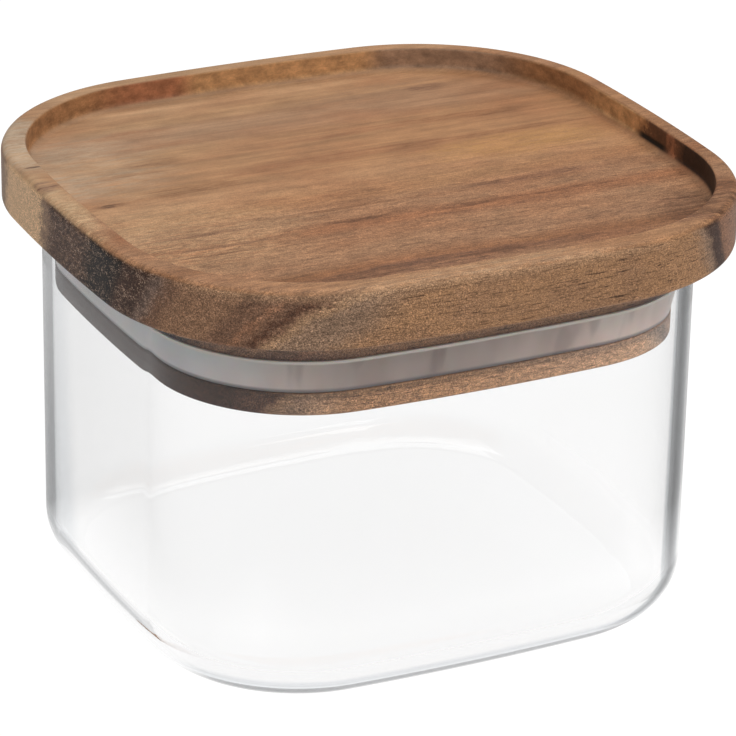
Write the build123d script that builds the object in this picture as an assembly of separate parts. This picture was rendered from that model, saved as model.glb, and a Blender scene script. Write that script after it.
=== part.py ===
from build123d import *
import os

# Storage jar: a clear glass vessel, a wooden lid with a tray on top and a stepped plug below,
# and a silicone sealing ring in the plug's groove. Lengths are millimetres. The origin is the
# centre of the jar's base, +Z is up, and the wood grain runs along X.

# Plan of the lid. Each side is a very shallow arc, and large round corners join the arcs.
LID_WIDTH = 110.0
LID_DEPTH = 105.0
SIDE_RADIUS = 400.0
CORNER_RADIUS = 34.0

# Lid board
SLAB_THICKNESS = 9.8
RIM_WIDTH = 3.9
TRAY_DEPTH = 4.2
TRAY_COVE = 1.0
BOARD_EDGE = 0.5

# Plug under the lid: an upper land, the groove for the sealing ring, and a lower flange
PLUG_DEPTH = 14.6
UPPER_LAND = 6.2
FLANGE_THICKNESS = 3.8
GROOVE_DEPTH = 2.2
PLUG_EDGE = 0.5
PLUG_CLEARANCE = 1.2

# Glass vessel
LID_OVERHANG = 6.5
JAR_HEIGHT = 65.0
WALL = 2.2
BASE_THICKNESS = 3.0
HEEL_RADIUS = 8.5
RIM_EDGE = 0.7

# Sealing ring. Its root fills the groove, and its lip flares up and out towards the glass.
# A narrow gap parts the lip from the plug, and the ring's foot stands ROOT_STEP inside the flange.
LIP_CLEARANCE = 0.25
LIP_RISE = 1.2
LIP_TIP = 0.45
LIP_GAP_DEPTH = 2.4
LIP_GAP_FOOT = 0.15
ROOT_CLEARANCE = 0.1
ROOT_STEP = 0.15

# Levels along Z
UNDERSIDE = JAR_HEIGHT
LID_TOP = UNDERSIDE + SLAB_THICKNESS
TRAY_FLOOR = LID_TOP - TRAY_DEPTH
PLUG_BOTTOM = UNDERSIDE - PLUG_DEPTH
GROOVE_BOTTOM = PLUG_BOTTOM + FLANGE_THICKNESS
GROOVE_TOP = UNDERSIDE - UPPER_LAND

# Insets from the lid's outline, which every other outline is parallel to
JAR_INSET = LID_OVERHANG
CAVITY_INSET = JAR_INSET + WALL
PLUG_INSET = CAVITY_INSET + PLUG_CLEARANCE
GROOVE_INSET = PLUG_INSET + GROOVE_DEPTH


def plan(inset, level):
    """The lid's outline drawn in by an inset: what four large discs share, with its corners rounded."""
    radius = SIDE_RADIUS - inset
    shift_x = radius - (LID_WIDTH / 2 - inset)
    shift_y = radius - (LID_DEPTH / 2 - inset)
    disc = Circle(radius)
    shared = Pos(shift_x, 0) * disc & Pos(-shift_x, 0) * disc
    shared = shared & Pos(0, shift_y) * disc & Pos(0, -shift_y) * disc
    outline = fillet(shared.vertices(), CORNER_RADIUS - inset)
    return Pos(0, 0, level) * outline


def upright(inset, low, high):
    """A solid with upright sides under one outline, from a low level to a high one."""
    return extrude(plan(inset, low), high - low)


def edges_at(solid, level):
    """All edges of a solid that lie flat at one level."""
    return solid.edges().filter_by_position(Axis.Z, level - 0.001, level + 0.001)


def flared(inset_low, low, inset_high, high):
    """A solid whose sides run straight from one outline up to a wider one. It is one long chamfer
    at the foot of an upright solid, cut off where the chamfer ends."""
    body = upright(inset_high, low, high + 1)
    foot = body.faces().sort_by(Axis.Z)[0]
    body = chamfer(edges_at(body, low), inset_low - inset_high, high - low, reference=foot)
    return body - upright(0, high, high + 2)


def make_glass_jar():
    """Vessel with a round heel, an even wall, a flat thick base and an eased rim."""
    outside = upright(JAR_INSET, 0, JAR_HEIGHT)
    outside = fillet(edges_at(outside, 0), HEEL_RADIUS)
    cavity = upright(CAVITY_INSET, BASE_THICKNESS, JAR_HEIGHT)
    cavity = fillet(edges_at(cavity, BASE_THICKNESS), HEEL_RADIUS - WALL)
    jar = outside - cavity
    return chamfer(edges_at(jar, JAR_HEIGHT), RIM_EDGE)


def make_board():
    """The lid's slab with the tray sunk into it. The tray's foot is coved and all edges are eased."""
    tray = upright(RIM_WIDTH, TRAY_FLOOR, LID_TOP)
    tray = chamfer(edges_at(tray, TRAY_FLOOR), TRAY_COVE)
    board = upright(0, UNDERSIDE, LID_TOP) - tray
    return chamfer(edges_at(board, UNDERSIDE) + edges_at(board, LID_TOP), BOARD_EDGE)


def make_wooden_lid():
    """Board and plug, cut from one piece of wood, with the groove for the sealing ring."""
    plug = upright(PLUG_INSET, PLUG_BOTTOM, UNDERSIDE)
    plug = chamfer(edges_at(plug, PLUG_BOTTOM), PLUG_EDGE)
    around = upright(PLUG_INSET - WALL, GROOVE_BOTTOM, GROOVE_TOP)
    groove = around - upright(GROOVE_INSET, GROOVE_BOTTOM, GROOVE_TOP)
    return make_board() + (plug - groove)


def make_silicone_gasket():
    """Ring whose root fills the groove, with a thin lip that stands off the land above it."""
    low = GROOVE_BOTTOM + ROOT_CLEARANCE
    root_top = GROOVE_TOP - ROOT_CLEARANCE
    high = GROOVE_TOP + LIP_RISE
    lip_inset = CAVITY_INSET + LIP_CLEARANCE
    ring = flared(PLUG_INSET + ROOT_STEP, low, lip_inset, high)
    bore = upright(GROOVE_INSET - ROOT_CLEARANCE, low, high)
    land = upright(PLUG_INSET, root_top, high)
    gap = flared(PLUG_INSET - LIP_GAP_FOOT, high - LIP_GAP_DEPTH, lip_inset + LIP_TIP, high)
    root = upright(PLUG_INSET, low, root_top)
    return ring - bore - land - (gap - root)


def save(node, shape):
    """One STEP file for each piece, named after the piece."""
    shape.label = node
    export_step(shape, os.path.join("parts", node + ".step"))


os.makedirs("parts", exist_ok=True)
save("glass_jar", make_glass_jar())
save("wooden_lid", make_wooden_lid())
save("silicone_gasket", make_silicone_gasket())
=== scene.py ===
import bpy
import numpy as np
from mathutils import Matrix, Vector


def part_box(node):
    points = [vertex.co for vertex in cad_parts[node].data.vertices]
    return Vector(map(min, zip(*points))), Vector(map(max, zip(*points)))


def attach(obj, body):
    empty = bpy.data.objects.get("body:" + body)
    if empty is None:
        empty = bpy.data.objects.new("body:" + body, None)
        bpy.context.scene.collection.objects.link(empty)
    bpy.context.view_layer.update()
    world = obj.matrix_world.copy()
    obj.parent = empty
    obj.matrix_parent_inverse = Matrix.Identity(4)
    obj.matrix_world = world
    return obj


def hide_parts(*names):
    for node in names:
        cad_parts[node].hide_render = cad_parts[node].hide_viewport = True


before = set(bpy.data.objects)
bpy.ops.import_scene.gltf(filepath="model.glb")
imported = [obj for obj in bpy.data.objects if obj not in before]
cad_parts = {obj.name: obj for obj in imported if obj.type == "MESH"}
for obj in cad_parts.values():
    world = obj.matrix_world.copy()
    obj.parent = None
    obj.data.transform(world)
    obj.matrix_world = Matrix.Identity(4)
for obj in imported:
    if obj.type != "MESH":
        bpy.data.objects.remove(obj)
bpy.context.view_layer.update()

# Glass storage jar with a wooden lid and a silicone sealing ring. The three solids of the frame
# are each stood for by a smooth skin: a section carried round the lid's outline. Lengths are
# millimetres until the mesh is made, +Z is up, and the wood grain runs along X.
MM = 0.001

# Plan of the lid, which every other outline is parallel to
lid_low, lid_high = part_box("wooden_lid")
HALF_WIDTH = lid_high.x / MM
HALF_DEPTH = lid_high.y / MM
SIDE_RADIUS = 400.0
CORNER_RADIUS = 34.0
SIDE_STEPS = 24
CORNER_STEPS = 36

# Levels along Z
jar_low, jar_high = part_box("glass_jar")
ring_low, ring_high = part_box("silicone_gasket")
LID_TOP = lid_high.z / MM
UNDERSIDE = jar_high.z / MM
PLUG_BOTTOM = lid_low.z / MM
SLAB_THICKNESS = LID_TOP - UNDERSIDE
TRAY_DEPTH = 4.2
TRAY_FLOOR = LID_TOP - TRAY_DEPTH
FLANGE_THICKNESS = 3.8
UPPER_LAND = 6.2
GROOVE_BOTTOM = PLUG_BOTTOM + FLANGE_THICKNESS
GROOVE_TOP = UNDERSIDE - UPPER_LAND
JAR_FLOOR = 3.0
ROOT_CLEARANCE = 0.1
LIP_GAP_DEPTH = 2.4
RING_LOW = ring_low.z / MM
RING_HIGH = ring_high.z / MM
RING_ROOT_TOP = GROOVE_TOP - ROOT_CLEARANCE
LIP_GAP_FOOT = RING_HIGH - LIP_GAP_DEPTH

# Insets from the lid's outline
WALL = 2.2
PLUG_CLEARANCE = 1.2
GROOVE_DEPTH = 2.2
LIP_TIP = 0.45
LIP_FOOT_STEP = 0.15
TRAY_INSET = 3.9
JAR_INSET = HALF_WIDTH - jar_high.x / MM
CAVITY_INSET = JAR_INSET + WALL
PLUG_INSET = CAVITY_INSET + PLUG_CLEARANCE
GROOVE_INSET = PLUG_INSET + GROOVE_DEPTH
LIP_INSET = HALF_WIDTH - ring_high.x / MM

# Insets where a section ends and the flat middle of a face is closed to a point
TRAY_MIDDLE = 8.0
PLUG_MIDDLE = 14.0
JAR_MIDDLE = 16.0

# The photographed tray is cut a little off the lid's middle, so its rim is thinner at the back
TRAY_SHIFT = np.array([0.5, 0.6])

# Sections: each row is an inset, a level and the radius that rounds the corner there
LID_SECTION = (
    (TRAY_MIDDLE, TRAY_FLOOR, 0.0),
    (TRAY_INSET, TRAY_FLOOR, 1.2),
    (TRAY_INSET, LID_TOP, 0.5),
    (0.0, LID_TOP, 1.4),
    (0.0, UNDERSIDE, 0.9),
    (PLUG_INSET, UNDERSIDE, 0.2),
    (PLUG_INSET, GROOVE_TOP, 0.1),
    (GROOVE_INSET, GROOVE_TOP, 0.1),
    (GROOVE_INSET, GROOVE_BOTTOM, 0.1),
    (PLUG_INSET, GROOVE_BOTTOM, 0.3),
    (PLUG_INSET, PLUG_BOTTOM, 0.6),
    (PLUG_MIDDLE, PLUG_BOTTOM, 0.0),
)
JAR_SECTION = (
    (JAR_MIDDLE, JAR_FLOOR, 0.0),
    (CAVITY_INSET, JAR_FLOOR, 6.3),
    (CAVITY_INSET, UNDERSIDE, 0.9),
    (JAR_INSET, UNDERSIDE, 0.9),
    (JAR_INSET, 0.0, 8.5),
    (JAR_MIDDLE, 0.0, 0.0),
)
RING_SECTION = (
    (LIP_INSET + LIP_TIP, RING_HIGH, 0.15),
    (LIP_INSET, RING_HIGH, 0.15),
    (PLUG_INSET + LIP_FOOT_STEP, RING_LOW, 0.3),
    (GROOVE_INSET - ROOT_CLEARANCE, RING_LOW, 0.1),
    (GROOVE_INSET - ROOT_CLEARANCE, RING_ROOT_TOP, 0.1),
    (PLUG_INSET, RING_ROOT_TOP, 0.1),
    (PLUG_INSET, LIP_GAP_FOOT, 0.05),
    (PLUG_INSET - LIP_FOOT_STEP, LIP_GAP_FOOT, 0.05),
)

# Faces round each corner's arc, and the length of the narrow face that keeps its shading flat on
# both sides. The scales are of the rings that close a flat face.
ARC_STEPS = 8
HOLD = 0.15
CAP_SCALES = np.array([0.0, 0.25, 0.5, 0.75])


def outline_fan():
    """The outline by the direction of its normal: four arcs of SIDE_RADIUS and four of CORNER_RADIUS
    that touch them from inside. Gives each point's normal, arc centre and arc radius.

    A corner's centre (p, q) is SIDE_RADIUS - CORNER_RADIUS away from both side arcs' centres,
    (-far_x, 0) and (0, -far_y)."""
    far_x = SIDE_RADIUS - HALF_WIDTH
    far_y = SIDE_RADIUS - HALF_DEPTH
    reach = SIDE_RADIUS - CORNER_RADIUS
    slope = far_y / far_x
    start = (far_y**2 - far_x**2) / (2 * far_x) + far_x
    q = np.roots([1 + slope**2, 2 * slope * start, start**2 - reach**2]).max()
    p = start - far_x + slope * q
    bend = np.arctan2(q, p + far_x)
    back = np.pi / 2 - np.arctan2(p, q + far_y)
    turns = np.array([-bend, bend, back, np.pi - back, np.pi - bend])
    turns = np.concatenate([turns, turns[1:] + np.pi])
    centres = np.array([
        (-far_x, 0), (p, q), (0, -far_y), (-p, q),
        (far_x, 0), (-p, -q), (0, far_y), (p, -q),
    ])
    steps = [SIDE_STEPS, CORNER_STEPS] * 4
    radii = [SIDE_RADIUS, CORNER_RADIUS] * 4
    angles = [np.linspace(a, b, n, endpoint=False) for a, b, n in zip(turns[:-1], turns[1:], steps)]
    angle = np.concatenate(angles)
    normal = np.stack([np.cos(angle), np.sin(angle)], axis=1)
    return normal, np.repeat(centres, steps, axis=0), np.repeat(radii, steps)


NORMAL, ARC_CENTRE, ARC_RADIUS = outline_fan()


def unit(vector):
    """The vector at length one."""
    return vector / np.linalg.norm(vector)


def rounded_corner(before, corner, after, radius):
    """The arc of one corner: it starts and ends radius / tan(half the angle) from the corner, and
    the spokes between its ends are spaced evenly in angle."""
    if radius == 0:
        return corner[None, :]
    to_before = unit(before - corner)
    to_after = unit(after - corner)
    half = np.arccos(np.clip(to_before @ to_after, -1, 1)) / 2
    centre = corner + unit(to_before + to_after) * radius / np.sin(half)
    first = corner + to_before * radius / np.tan(half) - centre
    last = corner + to_after * radius / np.tan(half) - centre
    turn = np.pi - 2 * half
    part = np.linspace(0, 1, ARC_STEPS + 1)[:, None]
    arc = centre + (np.sin((1 - part) * turn) * first + np.sin(part * turn) * last) / np.sin(turn)
    hold_before = arc[:1] + to_before * HOLD
    hold_after = arc[-1:] + to_after * HOLD
    return np.concatenate([hold_before, arc, hold_after])


def section_line(section):
    """A section's corners, each replaced by its arc, as rows of inset and level."""
    rows = np.array(section)
    points = rows[:, :2]
    before = np.roll(points, 1, axis=0)
    after = np.roll(points, -1, axis=0)
    arcs = [rounded_corner(*spot) for spot in zip(before, points, after, rows[:, 2])]
    return np.concatenate(arcs)


def ring_surface(line, scale):
    """Grid of points: row k is the outline drawn in by the line's inset k, times scale k, at its
    level. The tray's rows are moved by TRAY_SHIFT."""
    spokes = ARC_RADIUS[None, :, None] - line[:, None, :1]
    flat = (ARC_CENTRE[None] + spokes * NORMAL[None]) * scale[:, None, None]
    in_tray = (line[:, 0] > TRAY_INSET / 2) & (line[:, 1] > TRAY_FLOOR - HOLD)
    flat = flat + in_tray[:, None, None] * TRAY_SHIFT
    level = np.broadcast_to(line[:, None, 1:], flat.shape[:2] + (1,))
    return np.concatenate([flat, level], axis=2)


def grid_faces(rows, columns, wrap_rows):
    """Quads between neighbouring rows of a grid whose columns join round, and rows too if they wrap."""
    row = np.arange(rows if wrap_rows else rows - 1)[:, None]
    column = np.arange(columns)[None, :]
    next_row = (row + 1) % rows
    next_column = (column + 1) % columns
    corners = (row * columns + column, next_row * columns + column,
               next_row * columns + next_column, row * columns + next_column)
    return np.stack([c.ravel() for c in corners], axis=1)


def mesh_object(name, points, faces):
    """A smooth mesh object at the origin from arrays of points in millimetres and of faces."""
    mesh = bpy.data.meshes.new(name)
    mesh.from_pydata((points * MM).tolist(), [], faces)
    mesh.shade_smooth()
    piece = bpy.data.objects.new(name, mesh)
    bpy.context.collection.objects.link(piece)
    return piece


def capped_skin(name, section):
    """A closed skin: the section's line carried round the outline, with its first and last rings
    shrunk to a point to close the two flat faces."""
    line = section_line(section)
    caps = len(CAP_SCALES)
    line = np.concatenate([np.repeat(line[:1], caps, axis=0), line, np.repeat(line[-1:], caps, axis=0)])
    middle = np.ones(len(line) - 2 * caps)
    scale = np.concatenate([CAP_SCALES, middle, CAP_SCALES[::-1]])
    grid = ring_surface(line, scale)[1:-1]
    rows, columns = grid.shape[:2]
    count = rows * columns
    poles = np.array([[0, 0, line[0, 1]], [0, 0, line[-1, 1]]])
    points = np.concatenate([grid.reshape(-1, 3), poles])
    column = np.arange(columns)
    after = (column + 1) % columns
    last = count - columns
    start_fan = np.stack([np.full(columns, count), column, after], axis=1)
    end_fan = np.stack([column + last, np.full(columns, count + 1), after + last], axis=1)
    faces = grid_faces(rows, columns, False).tolist() + start_fan.tolist() + end_fan.tolist()
    return mesh_object(name, points, faces)


def looped_skin(name, section):
    """A closed ring: the section's closed line carried round the outline."""
    line = section_line(section)
    grid = ring_surface(line, np.ones(len(line)))
    rows, columns = grid.shape[:2]
    faces = grid_faces(rows, columns, True).tolist()
    return mesh_object(name, grid.reshape(-1, 3), faces)


def colour(red, green, blue):
    """A colour written 0 to 255, as the four linear values that a shader takes."""
    written = np.array([red, green, blue]) / 255
    linear = np.where(written <= 0.04045, written / 12.92, ((written + 0.055) / 1.055) ** 2.4)
    return tuple(linear) + (1.0,)


class Finish:
    """One material's node tree, with short calls for the nodes that the finishes share."""

    def __init__(self, name):
        self.material = bpy.data.materials.new(name)
        self.material.use_nodes = True
        self.tree = self.material.node_tree
        self.tree.nodes.clear()
        self.output = self.tree.nodes.new("ShaderNodeOutputMaterial")

    def add(self, kind, **settings):
        node = self.tree.nodes.new(kind)
        for key, value in settings.items():
            setattr(node, key, value)
        return node

    def feed(self, socket, value):
        """Links a socket or sets a plain value."""
        if isinstance(value, bpy.types.NodeSocket):
            self.tree.links.new(value, socket)
        else:
            socket.default_value = value

    def maths(self, operation, *values):
        node = self.add("ShaderNodeMath", operation=operation)
        for socket, value in zip(node.inputs, values):
            self.feed(socket, value)
        return node.outputs[0]

    def step(self, value, low, high):
        """0 below low, 1 above high, and a smooth rise between them. It falls if high is below low."""
        node = self.add("ShaderNodeMapRange", interpolation_type="SMOOTHSTEP")
        start, end = (0.0, 1.0) if low < high else (1.0, 0.0)
        self.feed(node.inputs["Value"], value)
        node.inputs["From Min"].default_value = min(low, high)
        node.inputs["From Max"].default_value = max(low, high)
        node.inputs["To Min"].default_value = start
        node.inputs["To Max"].default_value = end
        return node.outputs[0]

    def span(self, value, low, high, start, end):
        """Carries low to start and high to end along a straight line, and holds there."""
        node = self.add("ShaderNodeMapRange")
        self.feed(node.inputs["Value"], value)
        for name, number in (("From Min", low), ("From Max", high), ("To Min", start), ("To Max", end)):
            node.inputs[name].default_value = number
        return node.outputs[0]

    def stretched(self, vector, scale, shift=(0, 0, 0)):
        node = self.add("ShaderNodeMapping")
        self.feed(node.inputs["Vector"], vector)
        node.inputs["Scale"].default_value = scale
        node.inputs["Location"].default_value = shift
        return node.outputs[0]

    def noise(self, vector, scale, detail=2.0, rough=0.5, shift=(0, 0, 0)):
        """Noise whose grains are one over scale millimetres long on each axis."""
        node = self.add("ShaderNodeTexNoise")
        self.feed(node.inputs["Vector"], self.stretched(vector, scale, shift))
        node.inputs["Scale"].default_value = 1.0
        node.inputs["Detail"].default_value = detail
        node.inputs["Roughness"].default_value = rough
        return node.outputs["Fac"]

    def mix(self, factor, below, above, mode="MIX"):
        node = self.add("ShaderNodeMix", data_type="RGBA", blend_type=mode)
        self.feed(node.inputs[0], factor)
        self.feed(node.inputs[6], below)
        self.feed(node.inputs[7], above)
        return node.outputs[2]

    def bands(self, value, low, high, stops):
        """A colour for each place along value: stops are places, in order, with colours."""
        node = self.add("ShaderNodeValToRGB")
        self.feed(node.inputs[0], self.span(value, low, high, 0.0, 1.0))
        ramp = node.color_ramp
        ramp.interpolation = "EASE"
        for _ in range(len(stops) - 2):
            ramp.elements.new(0.5)
        for element, (place, tone) in zip(ramp.elements, stops):
            element.position = (place - low) / (high - low)
            element.color = tone
        return node.outputs[0]

    def mark(self, vector, centre, size):
        """1 at a centre, falling to 0 at an ellipse of that half length and half width."""
        scale = (1 / size[0], 1 / size[1], 0.0)
        shift = (-centre[0] / size[0], -centre[1] / size[1], 0.0)
        node = self.add("ShaderNodeTexGradient", gradient_type="SPHERICAL")
        self.feed(node.inputs[0], self.stretched(vector, scale, shift))
        return node.outputs["Fac"]

    def join(self, x, y, z):
        node = self.add("ShaderNodeCombineXYZ")
        for socket, value in zip(node.inputs, (x, y, z)):
            self.feed(socket, value)
        return node.outputs[0]

    def split(self, vector):
        node = self.add("ShaderNodeSeparateXYZ")
        self.feed(node.inputs[0], vector)
        return node.outputs

    def bump(self, height, distance, strength):
        node = self.add("ShaderNodeBump")
        node.inputs["Distance"].default_value = distance * MM
        node.inputs["Strength"].default_value = strength
        self.feed(node.inputs["Height"], height)
        return node.outputs[0]

    def body(self, **values):
        node = self.add("ShaderNodeBsdfPrincipled")
        for name, value in values.items():
            self.feed(node.inputs[name.replace("_", " ")], value)
        return node


# Tones of the flat wood
GOLD = colour(196, 144, 90)
SAND = colour(208, 168, 126)
ASH = colour(194, 160, 128)
TAN = colour(194, 156, 120)
PINE = colour(188, 140, 100)
MID = colour(178, 130, 90)
DULL = colour(170, 126, 92)
RUSSET = colour(166, 112, 76)
BROWN = colour(144, 98, 64)
MAUVE = colour(132, 92, 68)
UMBER = colour(108, 70, 46)
BARK = colour(80, 52, 36)

# What the flat wood is multiplied by towards its far left corner, where it is paler and greyer
PALER = (1.05, 1.22, 1.38, 1.0)

# Tones of the upright wood
SIDE = colour(174, 130, 92)
SIDE_PALE = colour(222, 182, 140)
SIDE_SAND = colour(186, 148, 114)
SIDE_SAND_DIM = colour(176, 138, 104)
SIDE_GREY = colour(150, 120, 96)
SIDE_BROWN = colour(150, 112, 84)
SIDE_RUST = colour(152, 108, 80)
SIDE_UMBER = colour(126, 92, 70)
SIDE_SLATE = colour(112, 90, 78)
SIDE_BARK = colour(70, 47, 36)
SIDE_COAL = colour(22, 16, 13)
SIDE_LINE = colour(98, 66, 48)
FLECK = colour(196, 164, 140)
FLANGE_GREY = colour(186, 166, 150)
WALL_PALE = colour(206, 160, 112)
WALL_TAN = colour(206, 158, 110)
WALL_RED = colour(176, 118, 84)
WALL_GREY = colour(166, 134, 108)
WALL_BROWN = colour(172, 126, 86)
WALL_DARK = colour(104, 70, 48)
WALL_BLACK = colour(56, 37, 26)

# Marks on the flat faces, on the tray's floor and on its rim, most of them in their grain: a centre
# (X, Y), half a length and half a width in millimetres, a tone, and how strongly it covers
FLOOR_MARKS = (
    (-38, -12, 26, 20, SAND, 0.45),
    (-39, 23, 17, 20, ASH, 0.45),
    (-46, 16, 7.9, 9, ASH, 0.5),
    (-27, 35.5, 9, 3.0, RUSSET, 0.7),
    (-5, 33, 15, 3.5, DULL, 0.7),
    (-26, 28.5, 11, 2.0, RUSSET, 0.5),
    (-29, 21.5, 8, 2.6, BROWN, 0.7),
    (-33, 18.0, 9, 1.2, BROWN, 0.6),
    (-35, 6.4, 12, 1.1, BROWN, 0.6),
    (-25, 8.5, 12, 2.6, BROWN, 0.6),
    (-8, 10.5, 18, 2.0, RUSSET, 0.45),
    (-43, 6.0, 4, 1.1, UMBER, 0.6),
    (-43.3, 6.0, 1.7, 0.8, BARK, 0.8),
    (14, 22.0, 28, 1.6, RUSSET, 0.6),
    (31, 22, 17, 1.7, BROWN, 0.75),
    (22, 38, 22, 5.5, DULL, 0.7),
    (30, 37.5, 5, 2.3, MAUVE, 0.7),
    (32, 6.5, 24, 7, GOLD, 0.8),
    (34, 12.5, 24, 1.0, BROWN, 0.7),
    (2, 12.3, 30, 1.7, RUSSET, 0.6),
    (16, 12, 6, 1.4, BROWN, 0.6),
    (38, -5, 14, 5, RUSSET, 0.25),
    (43, -33, 7.9, 11, UMBER, 0.9),
    (-3, -9.5, 26, 1.2, BROWN, 0.5),
    (26, -8.8, 15, 1.8, MAUVE, 0.8),
    (23, -8.7, 7, 1.0, UMBER, 0.8),
    (-8, -14.5, 11, 1.1, UMBER, 0.65),
    (-35, -11.5, 15, 0.8, MAUVE, 0.55),
    (-32, -16.5, 15, 0.8, MAUVE, 0.5),
    (-37, -20, 9, 0.8, UMBER, 0.5),
    (27, -16, 28, 0.9, UMBER, 0.55),
    (15, -18.6, 20, 0.8, MAUVE, 0.5),
    (20, -28, 30, 3.0, MAUVE, 0.35),
    # A mauve band along the floor's front, just behind the front rim, with umber spots in it
    (0, -36.3, 36, 3.0, MAUVE, 1.0),
    (22, -37.0, 8.5, 1.8, UMBER, 0.7),
    (-18, -36.5, 11, 1.9, UMBER, 0.8),
    (6, -36.0, 10, 1.7, UMBER, 0.75),
)
RIM_MARKS = (
    (0, 50, 60, 6, MID, 0.6),
    (-50, 28, 9, 18, ASH, 0.9),
    (-54, -2, 4, 22, SAND, 0.9),
    (-53.5, 8, 3.5, 3.4, MAUVE, 0.9),
    (-51.8, 17, 2.0, 0.5, BARK, 0.9),
    (-52.5, -14, 3.0, 2.2, RUSSET, 0.6),
    (-8, -52, 38, 6, TAN, 0.7),
    (-38, -42, 26, 20, DULL, 0.7),
    (54, -8, 7, 30, BROWN, 0.5),
    (42, -40, 14, 14, UMBER, 0.9),
    (36, -45.2, 14, 1.0, MAUVE, 0.8),
)


def flat_tones(f, ring):
    """Colours across the grain on faces that lie flat."""
    return f.bands(ring, -54.0, 54.0, (
        (-54, MID), (-43, PINE), (-39, DULL), (-35, BROWN), (-31, DULL), (-26, DULL), (-22, DULL),
        (-17, RUSSET), (-13, DULL), (-9, DULL), (-4, MID), (3, PINE), (10, MID), (17, MID),
        (24, MID), (30, DULL), (35, DULL), (40, MID), (46, PINE), (54, MID),
    ))


def end_left(f, ring):
    """Colours of the layers that the left end and the left corner cut across."""
    return f.bands(ring, -58.0, 54.0, (
        (-58, SIDE), (-55, SIDE_GREY), (-53.6, SIDE_GREY), (-53, SIDE_GREY), (-51.8, SIDE_SAND_DIM),
        (-51.1, SIDE_UMBER), (-50.5, SIDE_LINE), (-50.1, SIDE_LINE), (-49.6, SIDE_UMBER),
        (-48.4, SIDE_RUST), (-47.8, SIDE_UMBER), (-46, SIDE_UMBER), (-44, SIDE_BROWN),
        (-39, SIDE_BROWN), (-36, SIDE_UMBER), (-33.5, SIDE_SLATE), (-31, SIDE_BARK),
        (-27, SIDE_BARK), (-24, SIDE_COAL), (-16, SIDE_COAL), (-11, SIDE_BARK),
        (0, SIDE_BARK), (4, SIDE_GREY), (6.5, SIDE_PALE), (20, SIDE_PALE), (24, SIDE_GREY),
        (29, SIDE_GREY), (35, SIDE), (54, SIDE),
    ))


def end_right(f, ring):
    """Colours of the layers that the right end and the right corner cut across."""
    return f.bands(ring, -56.0, 54.0, (
        (-56, SIDE), (-50.4, SIDE), (-48.8, SIDE_GREY), (-47.8, SIDE_BARK), (-46.8, SIDE_BARK),
        (-45.4, SIDE_RUST), (-42, SIDE_RUST), (-37, WALL_DARK), (-30, WALL_BLACK),
        (-16, WALL_BLACK), (-13, WALL_DARK), (-11, WALL_RED), (-9, WALL_DARK), (-3, WALL_DARK),
        (-1, WALL_BROWN), (2, WALL_TAN), (6, WALL_PALE), (14, WALL_TAN), (19, WALL_BROWN),
        (42, WALL_BROWN), (54, SIDE),
    ))


def back_tones(f, x):
    """Colours along the tray's back wall."""
    return f.bands(x, -50.0, 50.0, (
        (-50, WALL_BROWN), (-32, WALL_BROWN), (-20, WALL_RED), (-13, WALL_RED), (-8, WALL_TAN),
        (5, WALL_TAN), (22, WALL_TAN), (28, WALL_GREY), (42, WALL_GREY), (50, WALL_BROWN),
    ))


def along_grain(f, place):
    """Height of each spot across the layers, on flat faces and on upright ones. Near the front a
    height of 1 mm in the board is 0.6 mm across it, and the layers stand upright further back."""
    y, z = f.split(place)[1:]
    wander = f.maths("MULTIPLY_ADD", f.noise(place, (0.014, 0.05, 0.05), 1.0), 5.0, -2.5)
    ripple = f.maths("MULTIPLY_ADD", f.noise(place, (0.05, 0.3, 0.3), 2.0), 1.6, -0.8)
    crumble = f.maths("SUBTRACT", f.noise(place, (0.4, 0.4, 0.5), 4.0, 0.75), 0.5)
    crumble = f.maths("MULTIPLY", crumble, f.span(y, -22.0, 0.0, 3.2, 9.0))
    lean = f.maths("MULTIPLY_ADD", z, f.span(y, -28.0, 2.0, 0.6, 0.1), y)
    flat = f.maths("ADD", f.maths("ADD", y, wander), ripple)
    end = f.maths("ADD", lean, crumble)
    return flat, end


def with_marks(f, place, tone, streaks, marks):
    """Lays marks over a tone. Noise frays their outlines and draws them out along X."""
    x, y = f.split(place)[:2]
    fray_x = f.maths("MULTIPLY_ADD", f.noise(place, (0.05, 0.35, 0.35), 2.0), 14.0, -7.0)
    fray_y = f.maths("MULTIPLY_ADD", f.noise(place, (0.08, 0.25, 0.2), 3.0, shift=(7, 3, 0)), 4.0, -2.0)
    frayed = f.join(f.maths("ADD", x, fray_x), f.maths("ADD", y, fray_y), 0.0)
    streaky = f.span(streaks, 0.32, 0.66, 1.3, 0.45)
    broken = f.noise(place, (0.35, 1.6, 1.0), 4.0, 0.7, shift=(9, 2, 0))
    streaky = f.maths("MULTIPLY", streaky, f.span(broken, 0.36, 0.6, 0.35, 1.2))
    for centre_x, centre_y, length, width, shade, cover in marks:
        spot = frayed if length > 8 else place
        inside = f.step(f.mark(spot, (centre_x, centre_y), (length, width)), 0.0, 0.6)
        amount = f.maths("MULTIPLY", f.maths("MULTIPLY", inside, cover), streaky)
        tone = f.mix(amount, tone, shade)
    return tone


def varied(f, tone, field, low, high, amount=1.0):
    """The tone times a factor between low and high that follows a noise field."""
    return f.mix(amount, tone, f.span(field, 0.32, 0.68, low, high), "MULTIPLY")


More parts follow.
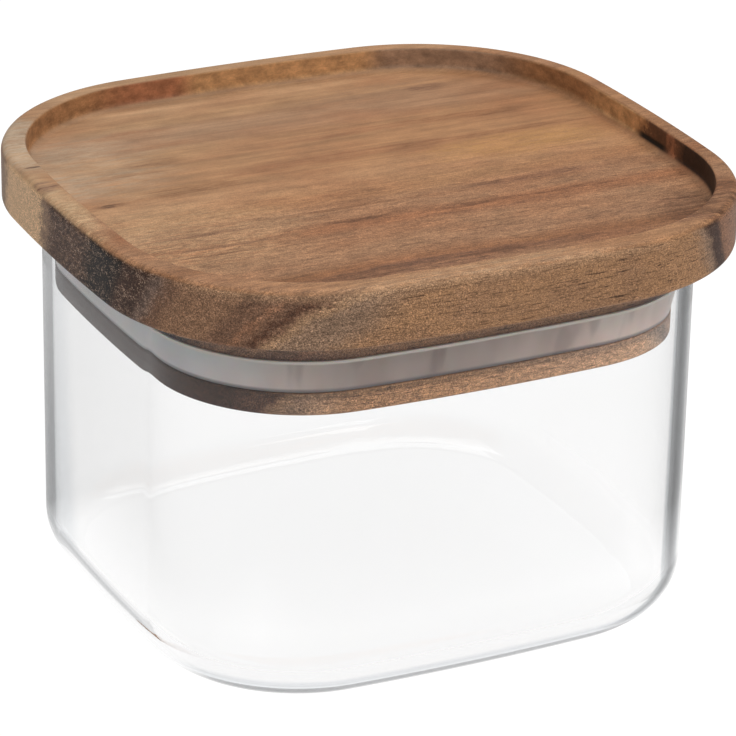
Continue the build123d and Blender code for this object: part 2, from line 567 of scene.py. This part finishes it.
def flat_wood(f, place, ring, crisp):
    """Colours of the tray's floor, the rim's top and the undersides."""
    x, y, z = f.split(place)
    streaks = f.noise(place, (0.03, 0.9, 0.4), 4.0, 0.65)
    base = flat_tones(f, ring)
    red = f.noise(place, (0.06, 0.16, 0.2), 3.0, shift=(2, 8, 4))
    base = f.mix(f.span(red, 0.4, 0.7, 0.0, 0.6), base, RUSSET)
    floor_tone = with_marks(f, place, base, streaks, FLOOR_MARKS)
    rim_tone = with_marks(f, place, base, streaks, RIM_MARKS)
    tone = f.mix(f.step(z, -2.6, -1.6), floor_tone, rim_tone)
    tone = varied(f, tone, streaks, 0.86, 1.12)
    tone = varied(f, tone, f.noise(place, (0.12, 0.28, 0.28), 3.0, 0.6, shift=(1, 4, 0)), 0.86, 1.12)
    tone = varied(f, tone, f.noise(place, (0.4, 1.3, 1.0), 3.0, 0.7, shift=(6, 1, 0)), 0.78, 1.2, crisp)
    threads = f.noise(place, (0.12, 3.4, 1.5), 2.0, 0.6, shift=(5, 2, 1))
    tone = varied(f, tone, threads, 0.88, 1.1, crisp)
    far_left = f.maths("MULTIPLY_ADD", y, 1.3, f.maths("MULTIPLY", x, -0.7))
    return f.mix(f.span(far_left, 10.0, 70.0, 0.0, 1.0), tone, PALER, "MULTIPLY")


def side_layout(f, place, ring, inner, outer):
    """Tones of the upright faces: left end, long front, right end, and the back."""
    x, y, z = f.split(place)
    board_z = f.maths("MAXIMUM", z, -SLAB_THICKNESS)
    blotches = f.noise(place, (0.12, 0.12, 0.2), 2.0)
    front = f.mix(f.span(blotches, 0.35, 0.65, 0.0, 0.5), SIDE, SIDE_BROWN)
    front_start = f.step(f.maths("MULTIPLY_ADD", board_z, -0.7, x), -25.0, -13.0)
    tone = f.mix(front_start, end_left(f, ring), front)
    right_ring = f.maths("MULTIPLY_ADD", board_z, -0.35, ring)
    tone = f.mix(f.step(x, 24.0, 34.0), tone, end_right(f, right_ring))
    back = f.mix(inner, front, back_tones(f, x))
    tone = f.mix(f.step(y, 26.0, 38.0), tone, back)
    edge = f.maths("MULTIPLY", f.step(z, -2.4, -0.4), f.step(x, 34.0, 20.0))
    edge = f.maths("MULTIPLY", edge, f.step(y, -30.0, -44.0))
    return f.mix(f.maths("MULTIPLY", f.maths("MULTIPLY", edge, outer), 0.55), tone, SIDE_SAND)


def tray_wall(f, place, tone, inner):
    """Mottles on the tray's wall, and painted shade that is blackest along its foot at the right."""
    x, y, z = f.split(place)
    mottles = f.noise(place, (0.35, 0.35, 0.5), 3.0, 0.65, shift=(8, 4, 4))
    tone = varied(f, tone, mottles, 0.7, 1.3, inner)
    # Painted shade: near-black along the foot of the right inner wall, where it meets the floor.
    foot_shade = f.maths("MULTIPLY", f.step(f.maths("ABSOLUTE", f.maths("ADD", y, 4.5)), 6.0, 3.0), inner)
    foot_shade = f.maths("MULTIPLY", foot_shade, f.maths("MULTIPLY", f.step(z, -2.4, -3.0), f.step(x, 20.0, 30.0)))
    return f.mix(foot_shade, tone, SIDE_COAL)


def cut_layers(f, place, ring, tone, outer, left):
    """Layers cut at a slant, with brown seams and pale flecks where the left end is dark."""
    x, y, z = f.split(place)
    layers = f.noise(f.join(x, ring, z), (0.06, 0.8, 1.0), 4.0, 0.75)
    layered = f.maths("MULTIPLY", f.span(left, 0.0, 1.0, 0.2, 0.8), f.span(y, 2.0, 8.0, 1.0, 0.5))
    tone = varied(f, tone, layers, 0.58, 1.44, layered)
    dark = f.maths("MULTIPLY", f.step(ring, 4.5, 1.0), f.step(ring, -38.0, -33.0))
    dark = f.maths("MULTIPLY", dark, left)
    seams = f.noise(place, (0.8, 0.9, 1.7), 4.0, 0.8, shift=(5, 5, 5))
    seamed = f.maths("MULTIPLY", f.step(ring, -18.0, -12.0), f.step(seams, 0.5, 0.62))
    tone = f.mix(f.maths("MULTIPLY", f.maths("MULTIPLY", seamed, dark), 0.7), tone, SIDE_BROWN)
    flecks = f.noise(place, (2.6, 2.4, 4.8), 2.0, 0.9, shift=(3, 9, 5))
    clumps = f.noise(place, (0.4, 0.5, 0.6), 3.0, 0.7, shift=(1, 5, 2))
    drift = f.maths("MULTIPLY_ADD", clumps, 0.3, f.maths("MULTIPLY_ADD", layers, 0.4, -0.35))
    fleck_level = f.step(f.maths("ADD", flecks, drift), 0.53, 0.72)
    fleck_share = f.maths("MULTIPLY", fleck_level, f.span(dark, 0.0, 1.0, 0.2, 0.9))
    return f.mix(f.maths("MULTIPLY", fleck_share, outer), tone, FLECK)


def side_wood(f, place, ring, inner, crisp):
    """Colours of the upright faces, with dark dashes along the front."""
    outer = f.maths("SUBTRACT", 1.0, inner)
    left = f.step(f.split(place)[0], -20.0, -32.0)
    tone = side_layout(f, place, ring, inner, outer)
    tone = tray_wall(f, place, tone, inner)
    tone = cut_layers(f, place, ring, tone, outer, left)
    dashes = f.noise(place, (0.2, 1.2, 5.0), 2.0, 0.6)
    dash_share = f.maths("MULTIPLY", f.step(dashes, 0.61, 0.67), f.span(left, 0.0, 1.0, 0.85, 0.15))
    return f.mix(f.maths("MULTIPLY", dash_share, crisp), tone, SIDE_BARK)


def seat_shade(f, place):
    """Painted shade: darkens the land above the sealing ring and the flange's edge just below it."""
    z = f.split(place)[2]
    land = f.maths("MULTIPLY", f.step(z, -9.8, -10.6), f.step(z, -20.0, -19.0))
    edge = f.maths("MULTIPLY", f.step(z, -20.0, -20.4), f.step(z, -21.9, -21.2))
    return f.maths("SUBTRACT", 1.0, f.maths("MULTIPLY_ADD", land, 0.03, f.maths("MULTIPLY", edge, 0.4)))


def flange_wood_and_painted_light(f, place, tone):
    """The flange seen through the glass: greyer to the right, mottled, with painted light that makes it
    lighter to the right and painted shade that makes it dark at its left.
    """
    x, z = f.split(place)[0], f.split(place)[2]
    flange = f.step(z, -19.0, -20.0)
    tone = f.mix(f.maths("MULTIPLY", flange, f.span(x, -5.0, 35.0, 0.0, 0.35)), tone, FLANGE_GREY)
    # Painted light: brighter and brighter towards the right.
    tone = f.mix(flange, tone, f.span(x, -25.0, 45.0, 1.15, 1.6), "MULTIPLY")
    # Painted shade: near-black at the flange's left end.
    tone = f.mix(f.maths("MULTIPLY", flange, f.step(x, -28.0, -40.0)), tone, SIDE_BARK)
    mottles = f.noise(place, (0.8, 1.3, 2.2), 4.0, 0.75, shift=(2, 2, 6))
    return varied(f, tone, mottles, 0.62, 1.36, flange)


def sanded(f, place, tone, upright, crisp):
    """Lays fuzz, grit, saw marks at the left and pores over a tone. Also gives a height, made of the
    fuzz and the grit alone."""
    fuzz = f.noise(place, (2.4, 3.0, 3.0), 2.0, 0.8)
    fuzzy = f.maths("MULTIPLY", f.span(crisp, 0.0, 1.0, 0.3, 1.0), f.span(upright, 0.0, 1.0, 0.65, 0.9))
    tone = varied(f, tone, fuzz, 0.66, 1.34, fuzzy)
    grit = f.noise(place, (5.5, 6.5, 6.5), 1.0, 0.6)
    tone = varied(f, tone, grit, 0.56, 1.46, f.maths("MULTIPLY", crisp, f.span(upright, 0.0, 1.0, 0.7, 1.0)))
    left = f.step(f.split(place)[0], 5.0, -20.0)
    sawn = f.noise(place, (4.4, 5.2, 5.2), 1.0, 0.6, shift=(4, 4, 2))
    sawn_share = f.maths("MULTIPLY", f.maths("MULTIPLY", crisp, upright), left)
    tone = varied(f, tone, sawn, 0.64, 1.4, sawn_share)
    pores = f.noise(place, (0.35, 3.8, 3.8), 2.0, 0.6)
    pore_share = f.maths("MULTIPLY", f.step(pores, 0.54, 0.68), f.span(crisp, 0.0, 1.0, 0.1, 0.45))
    return f.mix(pore_share, tone, BARK), f.maths("MULTIPLY_ADD", grit, 0.5, fuzz)


def make_brown_hardwood():
    """Oiled acacia: layers that lean through the board, streaks along X, pores that are dashes on
    long grain and dots on end grain, and a fine fuzz left by sanding, worn off towards the back."""
    f = Finish("brown_hardwood")
    place = f.stretched(f.add("ShaderNodeTexCoord").outputs["Object"], (1 / MM,) * 3, (0, 0, -LID_TOP))
    y, z = f.split(place)[1:]
    normal = f.add("ShaderNodeNewGeometry").outputs["Normal"]
    flat_ring, end_ring = along_grain(f, place)
    outward = f.add("ShaderNodeVectorMath", operation="DOT_PRODUCT")
    f.feed(outward.inputs[0], place)
    f.feed(outward.inputs[1], normal)
    inner = f.maths("MULTIPLY", f.step(outward.outputs["Value"], -10.0, -25.0), f.step(z, -6.0, -5.0))
    upright = f.step(f.split(normal)[2], 0.8, 0.35)
    outer_side = f.maths("MULTIPLY", upright, f.maths("SUBTRACT", 1.0, inner))
    behind = f.maths("MULTIPLY_ADD", outer_side, -16.0, f.maths("MULTIPLY_ADD", inner, 40.0, y))
    crisp = f.step(behind, 16.0, -18.0)

    side_tone = side_wood(f, place, end_ring, inner, crisp)
    tone = f.mix(upright, flat_wood(f, place, flat_ring, crisp), side_tone)
    tone = f.mix(1.0, tone, seat_shade(f, place), "MULTIPLY")
    tone = flange_wood_and_painted_light(f, place, tone)
    tone, height = sanded(f, place, tone, upright, crisp)
    wood = f.body(
        Base_Color=tone,
        Roughness=0.56,
        Specular_IOR_Level=0.24,
        Normal=f.bump(height, 0.05, 0.5),
    )
    f.feed(f.output.inputs["Surface"], wood.outputs[0])
    return f.material


# The glass lets a ray run through LONGEST_RUN faces before it passes straight on. Glass below
# BASE_LEVEL, in millimetres, is the base's underside. The tint and density are of its depth.
LONGEST_RUN = 4.5
BASE_LEVEL = 0.1
DEPTH_TINT = (0.41, 0.43, 0.44, 1.0)
DEPTH_DENSITY = 4.5
WHITE = (1.0, 1.0, 1.0, 1.0)


def grey(level):
    """A faintly blue grey, as the four linear values that a shader takes."""
    return (level, level * 1.04, level * 1.08, 1.0)


def painted_edge_bands(f, facing, slope):
    """Painted shade on the upright outer face from square on to edge on, at the left and at the right:
    grey bands that stand for a dark surround seen through the glass.
    The shader takes their square roots. The heel bends more tightly than the corners, so the left
    band takes in more of its turn there to stay as wide."""
    turn = f.maths("SUBTRACT", 1.0, facing)
    turn = f.maths("MULTIPLY", turn, f.span(slope, 0.0, -0.3, 1.0, 0.56))
    left = f.bands(f.maths("SUBTRACT", 1.0, turn), 0.0, 1.0, (
        (0.0, WHITE), (0.675, WHITE), (0.695, grey(0.68)), (0.715, grey(0.42)), (0.74, grey(0.31)),
        (0.8, grey(0.33)), (0.85, grey(0.38)), (0.91, grey(0.5)), (0.97, WHITE), (1.0, WHITE),
    ))
    right = f.bands(facing, 0.0, 1.0, (
        (0.0, WHITE), (0.595, WHITE), (0.62, grey(0.46)), (0.65, grey(0.34)), (0.68, grey(0.20)),
        (0.705, grey(0.11)), (0.725, grey(0.10)), (0.75, grey(0.12)), (0.79, grey(0.17)),
        (0.83, grey(0.35)), (0.88, WHITE), (1.0, WHITE),
    ))
    return left, right


def painted_heel_lines(f, slope):
    """Painted lines on the front's round heel, by how far it faces down, standing for the surround seen
    through it: two grey lines and a pale one.
    """
    return f.bands(slope, -1.0, 0.0, (
        (-1.0, grey(0.12)), (-0.80, grey(0.12)), (-0.71, grey(0.11)), (-0.63, grey(0.20)),
        (-0.585, grey(0.88)), (-0.53, grey(0.66)), (-0.46, grey(0.74)), (-0.38, WHITE), (0.0, WHITE),
    ))


def painted_glass_shade(f, camera):
    """The painted shade that the camera sees on the glass, standing for a dark surround seen through
    it, where white stands for none, and the height in millimetres that it goes by."""
    edge = f.add("ShaderNodeLayerWeight")
    edge.inputs["Blend"].default_value = 0.5
    x, y, z = f.split(f.stretched(f.add("ShaderNodeTexCoord").outputs["Object"], (1 / MM,) * 3))
    slope = f.split(f.add("ShaderNodeNewGeometry").outputs["Normal"])[2]
    # Painted shade: grey bands where the camera sees the outer face edge on, standing for a dark surround
    # seen through the glass.
    left_shade_bands, right_shade_bands = painted_edge_bands(f, edge.outputs["Facing"], slope)
    left_shade_bands = f.mix(f.step(slope, -0.75, -0.5), WHITE, left_shade_bands)
    left_foot = f.maths("MULTIPLY", f.step(slope, -0.02, -0.25), f.step(y, 22.0, 8.0))
    left_shade_bands = f.mix(left_foot, left_shade_bands, WHITE)
    left_shade_bands = f.mix(f.span(z, 24.0, 50.0, 0.0, 0.4), left_shade_bands, WHITE)
    right_shade_bands = f.mix(f.step(slope, -0.8, -0.4), WHITE, right_shade_bands)
    tint = f.mix(f.step(x, 20.0, 30.0), left_shade_bands, right_shade_bands)
    # Painted shade at the front: the heel's grey lines, and the glass darker towards its foot.
    front = f.step(y, -24.0, -33.0)
    tint = f.mix(front, tint, painted_heel_lines(f, slope), "MULTIPLY")
    tint = f.mix(front, tint, f.span(z, 3.0, 14.0, 0.80, 1.0), "MULTIPLY")
    # Painted shade: the glass a little darker upwards.
    tint = f.mix(1.0, tint, f.span(z, 10.0, 45.0, 1.0, 0.92), "MULTIPLY")
    return f.mix(camera, WHITE, tint), z


def make_clear_glass():
    """Clear soda-lime glass with a faint tint in its depth, and painted blue-grey shade where the
    camera sees its upright outer face edge on, standing for a dark surround seen through it. Shadow
    rays pass, so that the inside is lit. Light that meets the base from inside, or that has run
    inside the glass for long, passes straight on to the pale table."""
    f = Finish("clear_glass")
    path = f.add("ShaderNodeLightPath")
    camera = path.outputs["Is Camera Ray"]
    # The painted shade becomes the glass's base colour for rays from the camera.
    tint, z = painted_glass_shade(f, camera)
    glass = f.body(Base_Color=tint, Roughness=0.0, IOR=1.47, Transmission_Weight=1.0)
    passing = f.add("ShaderNodeBsdfTransparent")
    choice = f.add("ShaderNodeMixShader")
    trapped = f.maths("GREATER_THAN", path.outputs["Ray Depth"], LONGEST_RUN)
    base = f.maths("MULTIPLY", f.maths("LESS_THAN", z, BASE_LEVEL), f.maths("SUBTRACT", 1.0, camera))
    passes = f.maths("MAXIMUM", path.outputs["Is Shadow Ray"], f.maths("MAXIMUM", trapped, base))
    f.feed(choice.inputs[0], passes)
    f.feed(choice.inputs[1], glass.outputs[0])
    f.feed(choice.inputs[2], passing.outputs[0])
    depth = f.add("ShaderNodeVolumeAbsorption")
    depth.inputs["Color"].default_value = DEPTH_TINT
    depth.inputs["Density"].default_value = DEPTH_DENSITY
    f.feed(f.output.inputs["Surface"], choice.outputs[0])
    f.feed(f.output.inputs["Volume"], depth.outputs[0])
    return f.material


# Tones of the sealing ring
MILK = colour(188, 168, 159)
CREAM = colour(210, 194, 186)
COOL_MILK = colour(190, 194, 198)
RING_SHADE = colour(120, 108, 104)
# The lip's painted highlight, and the foot's painted shade
LIP_HIGHLIGHT = colour(250, 236, 226)
FOOT_SHADE = colour(104, 102, 106)


def make_translucent_silicone():
    """Milky silicone rubber with a satin skin: cloudy, with a painted highlight that makes its lip paler and
    painted shade that makes its foot darker.
    """
    f = Finish("translucent_silicone")
    place = f.stretched(f.add("ShaderNodeTexCoord").outputs["Object"], (1 / MM,) * 3)
    x, z = f.split(place)[0], f.split(place)[2]
    cloud = f.noise(place, (0.08, 0.08, 0.03), 3.0, 0.6)
    tone = f.mix(f.span(cloud, 0.38, 0.62, 0.0, 1.0), MILK, CREAM)
    cool = f.step(x, -28.0, -46.0)
    tone = f.mix(f.maths("MULTIPLY", cool, 0.7), tone, COOL_MILK)
    patches = f.noise(place, (0.22, 0.22, 0.04), 2.0, 0.5, shift=(4, 1, 0))
    tone = f.mix(f.maths("MULTIPLY", f.step(patches, 0.56, 0.70), 0.35), tone, RING_SHADE)
    wave = f.maths("MULTIPLY_ADD", f.noise(place, (0.12, 0.12, 0.0), 2.0), 0.5, -0.25)
    height = f.maths("ADD", z, wave)
    left_end = f.span(x, -24.0, -40.0, 0.80, 1.46)
    right_end = f.span(x, 0.0, 30.0, 0.84, 1.65)
    ends = f.maths("MAXIMUM", left_end, right_end)
    tone = f.mix(1.0, tone, ends, "MULTIPLY")
    # Painted highlight: a pale line along the top of the lip.
    lip = f.step(height, RING_HIGH - 0.7, RING_HIGH - 0.35)
    tone = f.mix(lip, tone, LIP_HIGHLIGHT)
    # Painted shade: grey along the ring's foot.
    foot = f.step(z, RING_LOW + 0.9, RING_LOW + 0.3)
    tone = f.mix(f.maths("MULTIPLY", foot, 0.75), tone, FOOT_SHADE)
    silicone = f.body(
        Base_Color=tone,
        Roughness=0.38,
        IOR=1.42,
        Subsurface_Weight=0.4,
        Subsurface_Scale=0.0015,
        Transmission_Weight=0.2,
    )
    f.feed(f.output.inputs["Surface"], silicone.outputs[0])
    return f.material


# Light at a plain level: an even surround and two wide soft lamps. Glass mirrors a dimmer room.
# Floor lengths are millimetres. Lamps are a place and a size in metres, and a power in watts.
SURROUND_LEVEL = 0.40
MIRROR_LEVEL = 0.40
NEAR_WALL_RUN = 3.5
FLOOR_SHARE = 0.90
FLOOR_WHITE = 1.09
FLOOR_CARD = (0.86, 0.86, 0.86, 1)
FLOOR_HALF = 4000.0
FLOOR_GAP = 0.05
LAMP_AIM = (0, 0, 0.05)
OVERHEAD_PLACE = (0.25, 0.25, 1.3)
OVERHEAD_SIZE = 1.2
OVERHEAD_POWER = 10.0
FRONT_PLACE = (0.2, -1.2, 1.2)
FRONT_SIZE = 1.0
FRONT_POWER = 7.0


def seen(f):
    """Two levels. The first is 1 for rays from the camera or straight through the glass. The second
    is 1 for rays that one of the near wall's two faces mirrors. Rays that the glass mirrors further
    inside count as straight."""
    path = f.add("ShaderNodeLightPath")
    sharp = f.maths("MULTIPLY", path.outputs["Is Glossy Ray"], path.outputs["Is Singular Ray"])
    through = path.outputs["Is Transmission Ray"]
    glass = f.maths("MAXIMUM", sharp, through)
    shallow = f.maths("LESS_THAN", path.outputs["Ray Depth"], NEAR_WALL_RUN)
    turned = f.maths("GREATER_THAN", path.outputs["Glossy Depth"], 0.5)
    mirrored = f.maths("MULTIPLY", glass, f.maths("MULTIPLY", shallow, turned))
    direct = f.maths("SUBTRACT", f.maths("MAXIMUM", path.outputs["Is Camera Ray"], glass), mirrored)
    return direct, mirrored


def make_floor():
    """A wide pale floor just under the jar, seen as white, that keeps a faint share of the shadow.
    The glass mirrors it white close to the jar and dimmer further off."""
    f = Finish("studio_floor")
    card = f.add("ShaderNodeBsdfDiffuse")
    card.inputs["Color"].default_value = FLOOR_CARD
    place = f.stretched(f.add("ShaderNodeTexCoord").outputs["Object"], (1 / MM,) * 3)
    x, y = f.split(place)[:2]
    beyond_x = f.maths("SUBTRACT", f.maths("ABSOLUTE", x), HALF_WIDTH)
    beyond_y = f.maths("SUBTRACT", f.maths("ABSOLUTE", y), HALF_DEPTH)
    away = f.maths("MAXIMUM", beyond_x, beyond_y)
    direct, mirrored = seen(f)
    dimmer = f.span(away, 0.0, 25.0, FLOOR_WHITE, MIRROR_LEVEL)
    dimmer = f.maths("MINIMUM", dimmer, f.span(y, 34.0, 48.0, FLOOR_WHITE, MIRROR_LEVEL))
    level = f.maths("MULTIPLY_ADD", mirrored, dimmer, f.maths("MULTIPLY", direct, FLOOR_WHITE))
    white = f.add("ShaderNodeEmission")
    f.feed(white.inputs["Strength"], level)
    choice = f.add("ShaderNodeMixShader")
    f.feed(choice.inputs[0], f.maths("MULTIPLY", f.maths("MAXIMUM", direct, mirrored), FLOOR_SHARE))
    f.feed(choice.inputs[1], card.outputs[0])
    f.feed(choice.inputs[2], white.outputs[0])
    f.feed(f.output.inputs["Surface"], choice.outputs[0])
    corners = np.array([(-1, -1), (1, -1), (1, 1), (-1, 1)]) * FLOOR_HALF
    points = np.column_stack([corners, np.full(4, -FLOOR_GAP)])
    floor = mesh_object("studio_floor", points, [[0, 1, 2, 3]])
    floor.data.materials.append(f.material)


class Surround(Finish):
    """The world's node tree, with the same short calls."""

    def __init__(self, name):
        world = bpy.data.worlds.new(name)
        world.use_nodes = True
        self.tree = world.node_tree
        self.tree.nodes.clear()
        self.output = self.tree.nodes.new("ShaderNodeOutputWorld")
        bpy.context.scene.world = world


def make_surround():
    """White where it is seen, and a plain even level where it only lights."""
    f = Surround("studio_surround")
    back = f.add("ShaderNodeBackground")
    direct, mirrored = seen(f)
    level = f.span(mirrored, 0.0, 1.0, SURROUND_LEVEL, MIRROR_LEVEL)
    f.feed(back.inputs["Strength"], f.maths("MAXIMUM", level, direct))
    f.feed(f.output.inputs["Surface"], back.outputs[0])


def add_lamp(name, place, size, power):
    """A square soft lamp at a place, in metres, that points at the middle of the jar."""
    lamp = bpy.data.lights.new(name, "AREA")
    lamp.shape = "SQUARE"
    lamp.size = size
    lamp.energy = power
    holder = bpy.data.objects.new(name, lamp)
    holder.location = place
    holder.rotation_euler = (Vector(LAMP_AIM) - Vector(place)).to_track_quat("-Z", "Y").to_euler()
    bpy.context.collection.objects.link(holder)


# Camera, worked out from the outline's edges in the photograph. Azimuth and elevation are degrees,
# the distance is metres, and pan, tilt and roll are radians.
CAMERA_AZIMUTH = -26.468
CAMERA_ELEVATION = 20.369
CAMERA_DISTANCE = 0.64259
CAMERA_FOCAL_PIXELS = 3918.2
CAMERA_PAN = -0.001439
CAMERA_TILT = -0.053835
CAMERA_ROLL = 0.018796
PICTURE_WIDTH = 736
SENSOR_WIDTH = 36.0


def add_camera():
    """Looks at the middle of the lid's top from the photograph's angle, then pans, tilts and rolls."""
    azimuth, elevation = np.radians([CAMERA_AZIMUTH, CAMERA_ELEVATION])
    back = Vector((
        np.sin(azimuth) * np.cos(elevation),
        -np.cos(azimuth) * np.cos(elevation),
        np.sin(elevation),
    ))
    aim = (-back).to_track_quat("-Z", "Y").to_matrix()
    aim = aim @ Matrix.Rotation(CAMERA_PAN, 3, "Y")
    aim = aim @ Matrix.Rotation(CAMERA_TILT, 3, "X")
    aim = aim @ Matrix.Rotation(CAMERA_ROLL, 3, "Z")
    camera = bpy.data.cameras.new("photo_camera")
    camera.sensor_width = SENSOR_WIDTH
    camera.lens = CAMERA_FOCAL_PIXELS * SENSOR_WIDTH / PICTURE_WIDTH
    holder = bpy.data.objects.new("photo_camera", camera)
    place = Vector((0, 0, LID_TOP * MM)) + back * CAMERA_DISTANCE
    holder.matrix_world = Matrix.Translation(place) @ aim.to_4x4()
    bpy.context.collection.objects.link(holder)
    bpy.context.scene.camera = holder


jar = capped_skin("jar_glass", JAR_SECTION)
jar.data.materials.append(make_clear_glass())
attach(jar, "jar")
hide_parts("glass_jar")

lid = capped_skin("lid_wood", LID_SECTION)
lid.data.materials.append(make_brown_hardwood())
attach(lid, "lid")
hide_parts("wooden_lid")

ring = looped_skin("sealing_ring", RING_SECTION)
ring.data.materials.append(make_translucent_silicone())
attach(ring, "lid")
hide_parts("silicone_gasket")

make_floor()
make_surround()
add_lamp("overhead_lamp", OVERHEAD_PLACE, OVERHEAD_SIZE, OVERHEAD_POWER)
add_lamp("front_lamp", FRONT_PLACE, FRONT_SIZE, FRONT_POWER)
add_camera()
bpy.context.scene.view_settings.view_transform = "Standard"
